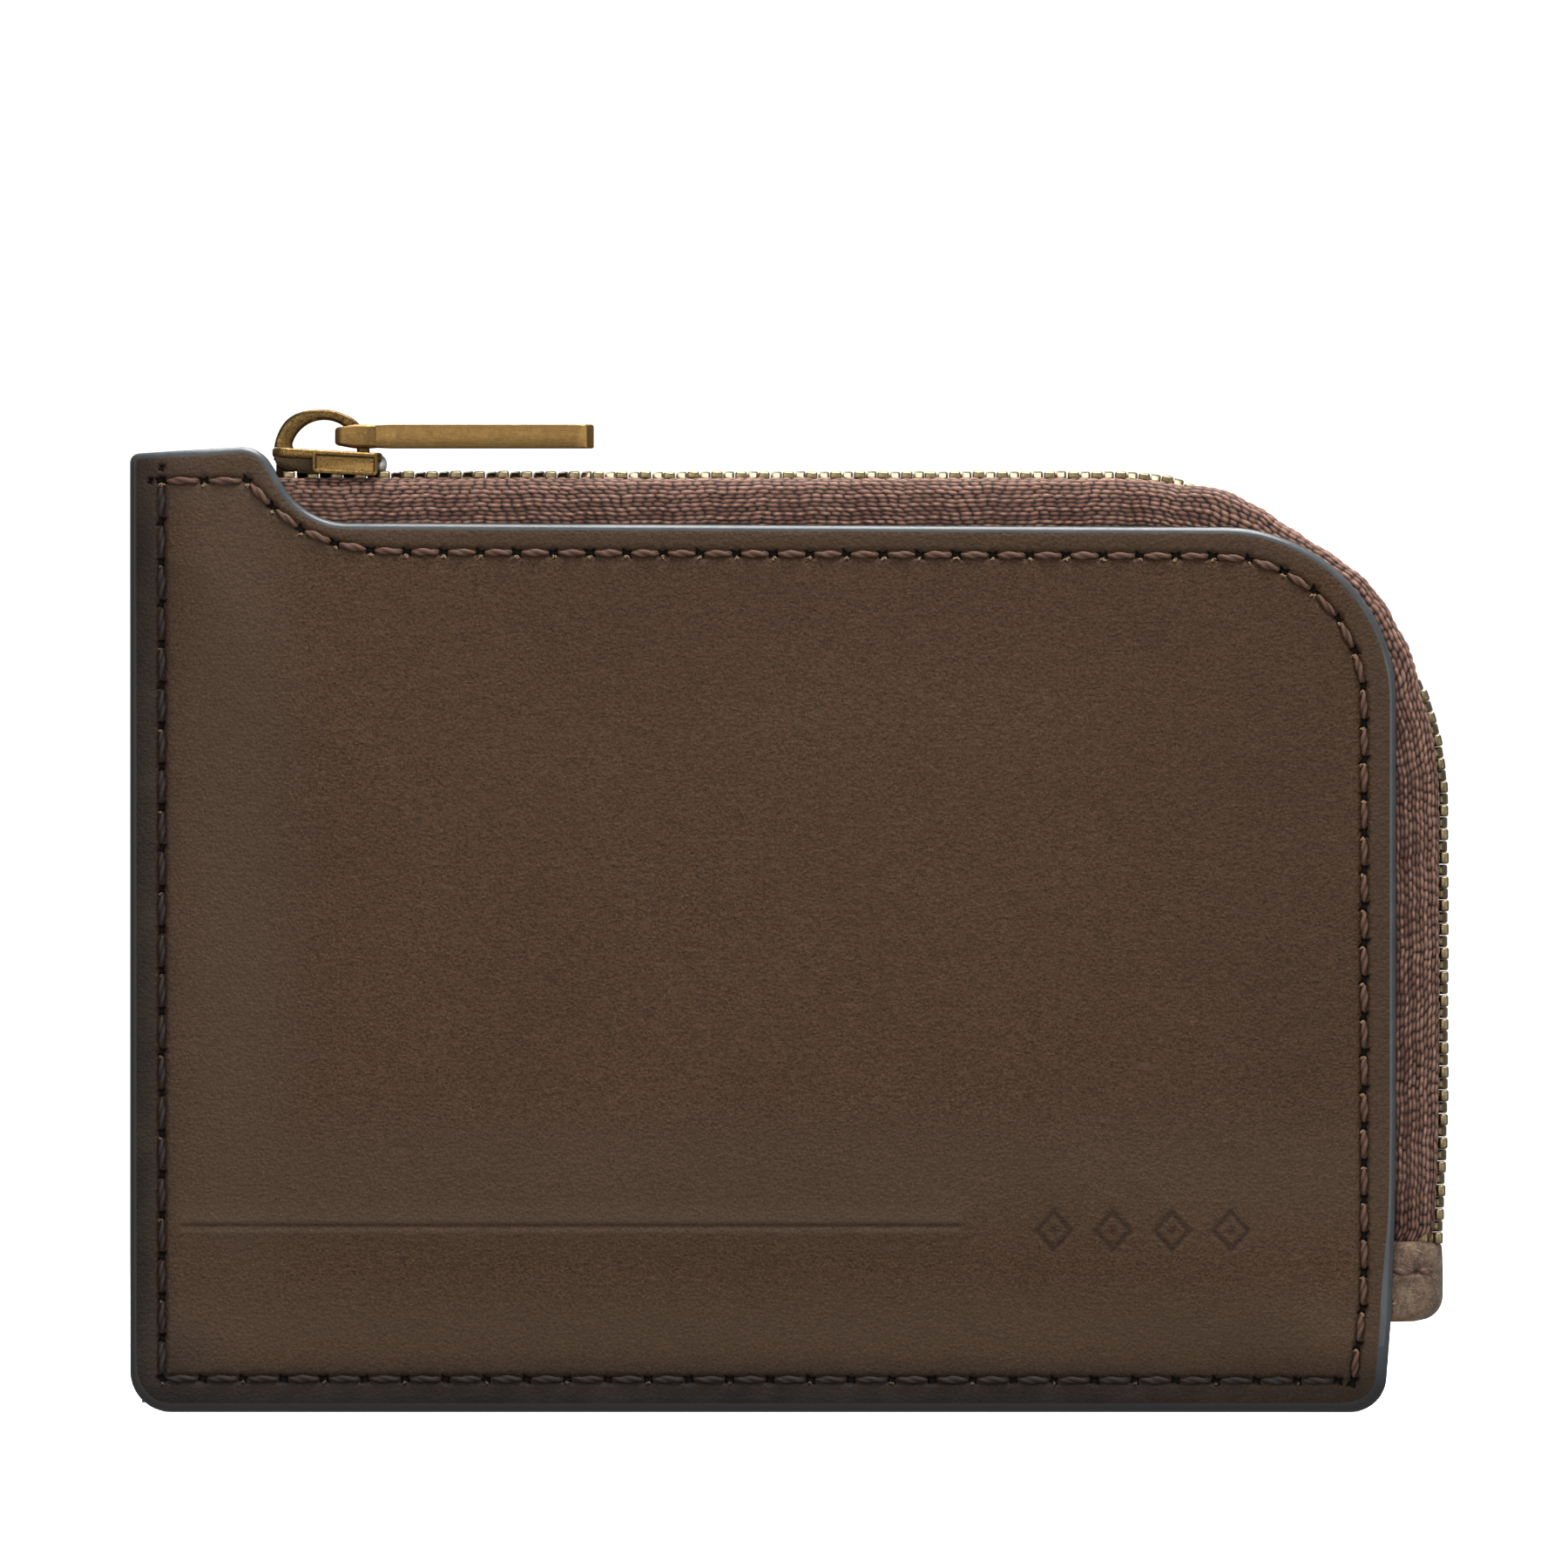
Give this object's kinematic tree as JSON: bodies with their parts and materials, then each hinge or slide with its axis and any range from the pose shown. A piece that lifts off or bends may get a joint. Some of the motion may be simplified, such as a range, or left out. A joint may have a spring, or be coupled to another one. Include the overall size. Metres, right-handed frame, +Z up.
{
  "type": "zip pouch",
  "caption": "Flat two-panel leather pouch closed by a metal zip along its top and one side, with a slider, loop and bar pull.",
  "frame": {"origin": "centre of the box at the bottom edge, on which the pouch stands", "axes": "+X towards the zip side, +Y from the front face to the back, +Z up towards the zip's top run"},
  "size_m": [0.1118, 0.0096, 0.0851],
  "materials": {
    "leather": "pebbled, semi-matt, burnished edges",
    "tab_leather": "smooth, semi-matt",
    "lining": "plain weave",
    "edge": "painted edge",
    "tape": "woven",
    "teeth": "antique, tumbled",
    "hardware": "antique, brushed",
    "thread_zip": "twisted waxed thread",
    "thread_sewn": "twisted waxed thread, darkened"
  },
  "bodies": {
    "pouch": {"front_panel": "leather", "back_panel": "leather", "front_lining": "lining", "back_lining": "lining", "card_divider": "leather", "edge_welt": "edge", "tape_front": "tape", "tape_back": "tape", "teeth_front": "teeth", "teeth_back": "teeth", "top_stop_front": "teeth", "top_stop_back": "teeth", "bottom_stop": "teeth", "end_tab": "tab_leather", "end_tab_thread": "thread_zip", "zip_thread_front": "thread_zip", "zip_thread_back": "thread_zip", "sewn_thread_front": "thread_sewn", "sewn_thread_back": "thread_sewn"},
    "slider": {"slider_body": "hardware", "slider_loop": "hardware"},
    "pull": {"pull_bar": "hardware"}
  },
  "joints": [
    {"name": "slider_travel", "type": "slide", "parent": "pouch", "child": "slider", "axis": [1, 0, 0], "range_m": [0, 0.059], "deforming": ["teeth_front", "teeth_back"]},
    {"name": "pull_swing", "type": "hinge", "parent": "slider", "child": "pull", "pos_m": [-0.0395, 0, 0.0814], "axis": [0, -1, 0], "range_deg": [0, 104]}
  ]
}
